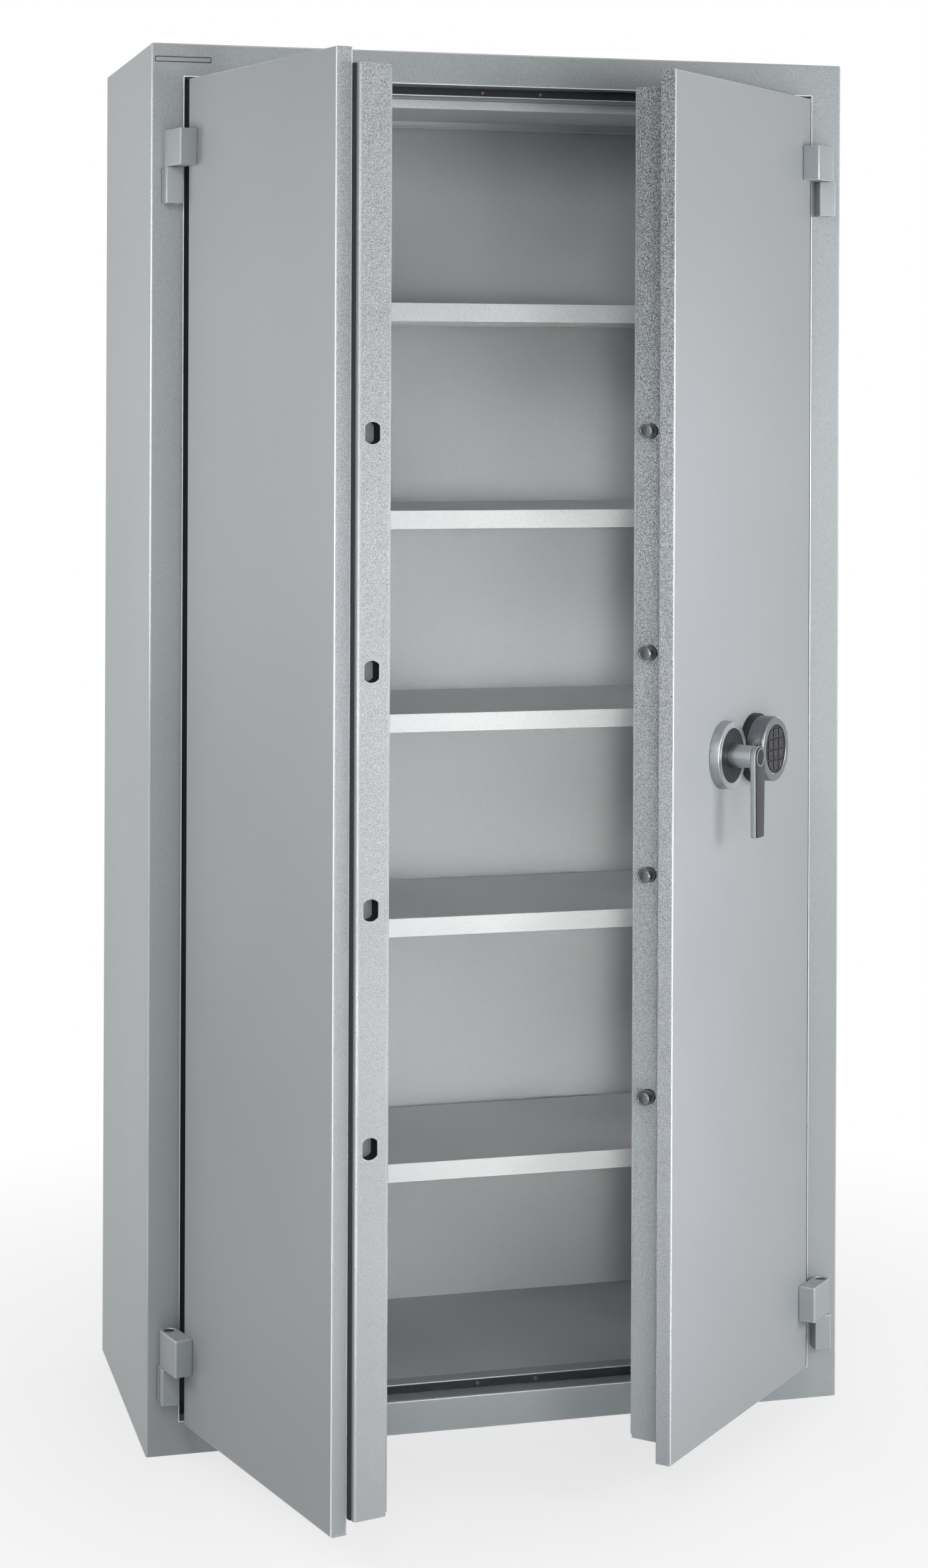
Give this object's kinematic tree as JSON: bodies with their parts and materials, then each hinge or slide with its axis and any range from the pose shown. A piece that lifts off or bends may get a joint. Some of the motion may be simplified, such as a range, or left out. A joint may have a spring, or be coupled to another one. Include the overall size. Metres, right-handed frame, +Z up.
{
  "type": "fireproof safe cabinet",
  "caption": "Free-standing double-door fire-resistant steel cabinet with shelves, an electronic keypad lock, a lever handle and sliding bolts.",
  "frame": {"origin": "middle of the cabinet's base, on the floor", "axes": "+Z up, -Y out of the front where the doors are, +X to the right of a person facing the front"},
  "size_m": [1.015, 0.9481, 1.95],
  "materials": {
    "hammer_grey_paint": "silver-grey paint with a hammered, orange-peel grain",
    "door_grey_paint": "silver-grey paint with a fine even grain",
    "light_grey_paint": "light grey powder coat",
    "mineral_board": "raw mineral-fibre board, out of sight",
    "seal_black": "matte black seal strip",
    "dark_pin_steel": "blackened, lightly oiled",
    "zinc_plate": "zinc plated, turned",
    "satin_chrome": "satin",
    "dark_trim": "satin black",
    "key_grey": "soft matte"
  },
  "bodies": {
    "cabinet": {"outer_casing": "hammer_grey_paint", "insulation": "mineral_board", "inner_liner": "light_grey_paint", "door_frame": "hammer_grey_paint", "frame_seal": "seal_black", "shelf_1": "light_grey_paint", "shelf_2": "light_grey_paint", "shelf_3": "light_grey_paint", "shelf_4": "light_grey_paint", "shelf_5": "light_grey_paint", "hanging_tray": "light_grey_paint", "left_shelf_ladder": "light_grey_paint", "right_shelf_ladder": "light_grey_paint", "left_lower_hinge_block": "hammer_grey_paint", "left_upper_hinge_block": "hammer_grey_paint", "right_lower_hinge_block": "hammer_grey_paint", "right_upper_hinge_block": "hammer_grey_paint", "left_lower_hinge_pin": "dark_pin_steel", "left_upper_hinge_pin": "dark_pin_steel", "right_lower_hinge_pin": "dark_pin_steel", "right_upper_hinge_pin": "dark_pin_steel"},
    "left_door": {"left_outer_panel": "door_grey_paint", "left_inner_box": "hammer_grey_paint", "left_door_core": "mineral_board", "left_rear_cover": "hammer_grey_paint", "left_door_seal": "seal_black", "left_lower_hinge_knuckle": "door_grey_paint", "left_upper_hinge_knuckle": "door_grey_paint"},
    "right_door": {"right_outer_panel": "door_grey_paint", "right_inner_box": "hammer_grey_paint", "right_door_core": "mineral_board", "right_rear_cover": "hammer_grey_paint", "right_lower_hinge_knuckle": "door_grey_paint", "right_upper_hinge_knuckle": "door_grey_paint", "handle_rosette": "satin_chrome", "rosette_disc": "dark_trim", "keypad_base": "dark_trim", "keypad_body": "satin_chrome", "keypad_face": "dark_trim", "lock_case": "zinc_plate"},
    "handle": {"lever": "satin_chrome", "spindle": "satin_chrome", "crank": "zinc_plate"},
    "bolt_work": {"bolt_bar": "zinc_plate", "bolt_1": "zinc_plate", "bolt_2": "zinc_plate", "bolt_3": "zinc_plate", "bolt_4": "zinc_plate"},
    "pad_1": {"key_1": "key_grey"},
    "pad_2": {"key_2": "key_grey"},
    "pad_3": {"key_3": "key_grey"},
    "pad_4": {"key_4": "key_grey"},
    "pad_5": {"key_5": "key_grey"},
    "pad_6": {"key_6": "key_grey"},
    "pad_7": {"key_7": "key_grey"},
    "pad_8": {"key_8": "key_grey"},
    "pad_9": {"key_9": "key_grey"},
    "pad_10": {"key_10": "key_grey"},
    "pad_11": {"key_11": "key_grey"},
    "pad_12": {"key_12": "key_grey"}
  },
  "joints": [
    {"name": "left_door_swing", "type": "hinge", "parent": "cabinet", "child": "left_door", "pos_m": [-0.478, -0.2478, 0], "axis": [0, 0, -1], "range_deg": [-75.4, 104.6]},
    {"name": "right_door_swing", "type": "hinge", "parent": "cabinet", "child": "right_door", "pos_m": [0.478, -0.2478, 0], "axis": [0, 0, 1], "range_deg": [-45.9, 134.1]},
    {"name": "handle_turn", "type": "hinge", "parent": "right_door", "child": "handle", "pos_m": [0.24823, -0.46651, 0.975], "axis": [-0.7181, 0.6959, 0], "range_deg": [0, 90]},
    {"name": "bolt_slide", "type": "slide", "parent": "right_door", "child": "bolt_work", "axis": [0.6959, 0.7181, 0], "range_m": [0, 0.018]},
    {"name": "key_1_press", "type": "slide", "parent": "right_door", "child": "pad_1", "axis": [-0.7181, 0.6959, 0], "range_m": [0, 0.0015], "stiffness_N_per_m": 800},
    {"name": "key_2_press", "type": "slide", "parent": "right_door", "child": "pad_2", "axis": [-0.7181, 0.6959, 0], "range_m": [0, 0.0015], "stiffness_N_per_m": 800},
    {"name": "key_3_press", "type": "slide", "parent": "right_door", "child": "pad_3", "axis": [-0.7181, 0.6959, 0], "range_m": [0, 0.0015], "stiffness_N_per_m": 800},
    {"name": "key_4_press", "type": "slide", "parent": "right_door", "child": "pad_4", "axis": [-0.7181, 0.6959, 0], "range_m": [0, 0.0015], "stiffness_N_per_m": 800},
    {"name": "key_5_press", "type": "slide", "parent": "right_door", "child": "pad_5", "axis": [-0.7181, 0.6959, 0], "range_m": [0, 0.0015], "stiffness_N_per_m": 800},
    {"name": "key_6_press", "type": "slide", "parent": "right_door", "child": "pad_6", "axis": [-0.7181, 0.6959, 0], "range_m": [0, 0.0015], "stiffness_N_per_m": 800},
    {"name": "key_7_press", "type": "slide", "parent": "right_door", "child": "pad_7", "axis": [-0.7181, 0.6959, 0], "range_m": [0, 0.0015], "stiffness_N_per_m": 800},
    {"name": "key_8_press", "type": "slide", "parent": "right_door", "child": "pad_8", "axis": [-0.7181, 0.6959, 0], "range_m": [0, 0.0015], "stiffness_N_per_m": 800},
    {"name": "key_9_press", "type": "slide", "parent": "right_door", "child": "pad_9", "axis": [-0.7181, 0.6959, 0], "range_m": [0, 0.0015], "stiffness_N_per_m": 800},
    {"name": "key_10_press", "type": "slide", "parent": "right_door", "child": "pad_10", "axis": [-0.7181, 0.6959, 0], "range_m": [0, 0.0015], "stiffness_N_per_m": 800},
    {"name": "key_11_press", "type": "slide", "parent": "right_door", "child": "pad_11", "axis": [-0.7181, 0.6959, 0], "range_m": [0, 0.0015], "stiffness_N_per_m": 800},
    {"name": "key_12_press", "type": "slide", "parent": "right_door", "child": "pad_12", "axis": [-0.7181, 0.6959, 0], "range_m": [0, 0.0015], "stiffness_N_per_m": 800}
  ],
  "couplings": [
    {"joint": "bolt_slide", "follows": "handle_turn", "m_per_rad": 0.011459}
  ]
}
